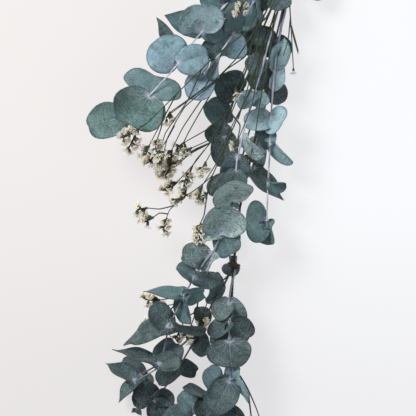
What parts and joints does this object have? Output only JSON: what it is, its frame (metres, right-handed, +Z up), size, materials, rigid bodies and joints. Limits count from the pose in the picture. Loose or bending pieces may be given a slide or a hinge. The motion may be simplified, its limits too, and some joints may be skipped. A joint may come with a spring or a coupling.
{
  "type": "silver dollar eucalyptus table runner",
  "caption": "Leafy garland that lies along a table: round-leaved eucalyptus sprigs and wiry statice sprays bound to a twine spine, tips outwards from a wrapped middle.",
  "frame": {"origin": "on the table under the middle wrap, halfway along the runner", "axes": "+Z up off the table, +Y along the runner (the picture's upward side), +X to the picture's right"},
  "size_m": [0.3548, 1.1514, 0.0917],
  "materials": {
    "leaf": "waxy, blue-grey, matt",
    "sprig_stem": "pale lavender-grey bark",
    "statice": "dry, dark olive",
    "floret": "papery, cream with yellow throats",
    "twine": "rough, dark brown"
  },
  "bodies": {
    "root": {"binding_wrap": "twine", "eucalyptus_centre_a": "leaf", "eucalyptus_centre_b": "leaf", "eucalyptus_deep_left_a": "leaf", "eucalyptus_deep_left_b": "leaf", "eucalyptus_deep_right_a": "leaf", "eucalyptus_deep_right_b": "leaf", "eucalyptus_end_a": "leaf", "eucalyptus_end_b": "leaf", "eucalyptus_end_left_a": "leaf", "eucalyptus_end_left_b": "leaf", "eucalyptus_lower_deep_a": "leaf", "eucalyptus_lower_deep_b": "leaf", "eucalyptus_lower_left_a": "leaf", "eucalyptus_lower_left_b": "leaf", "eucalyptus_lower_right_a": "leaf", "eucalyptus_lower_right_b": "leaf", "eucalyptus_right_a": "leaf", "eucalyptus_right_b": "leaf", "eucalyptus_short_left_a": "leaf", "eucalyptus_short_left_b": "leaf", "eucalyptus_short_mid_a": "leaf", "eucalyptus_short_mid_b": "leaf", "eucalyptus_short_right_a": "leaf", "eucalyptus_short_right_b": "leaf", "eucalyptus_under_a": "leaf", "eucalyptus_under_b": "leaf", "eucalyptus_upper_left_a": "leaf", "eucalyptus_upper_left_b": "leaf", "eucalyptus_upper_mid_a": "leaf", "eucalyptus_upper_mid_b": "leaf", "spine_twine": "twine", "statice_centre_a": "statice", "statice_centre_b": "statice", "statice_end_a": "statice", "statice_end_b": "statice", "statice_lower_a": "statice", "statice_lower_b": "statice", "statice_mid_left_a": "statice", "statice_mid_left_b": "statice", "statice_right_a": "statice", "statice_right_b": "statice", "statice_upper_left_a": "statice", "statice_upper_left_b": "statice", "statice_upper_mid_a": "statice", "statice_upper_mid_b": "statice", "tie_far_a": "twine", "tie_far_b": "twine", "tie_mid_a": "twine", "tie_mid_b": "twine", "tie_near_a": "twine", "tie_near_b": "twine"}
  },
  "joints": []
}
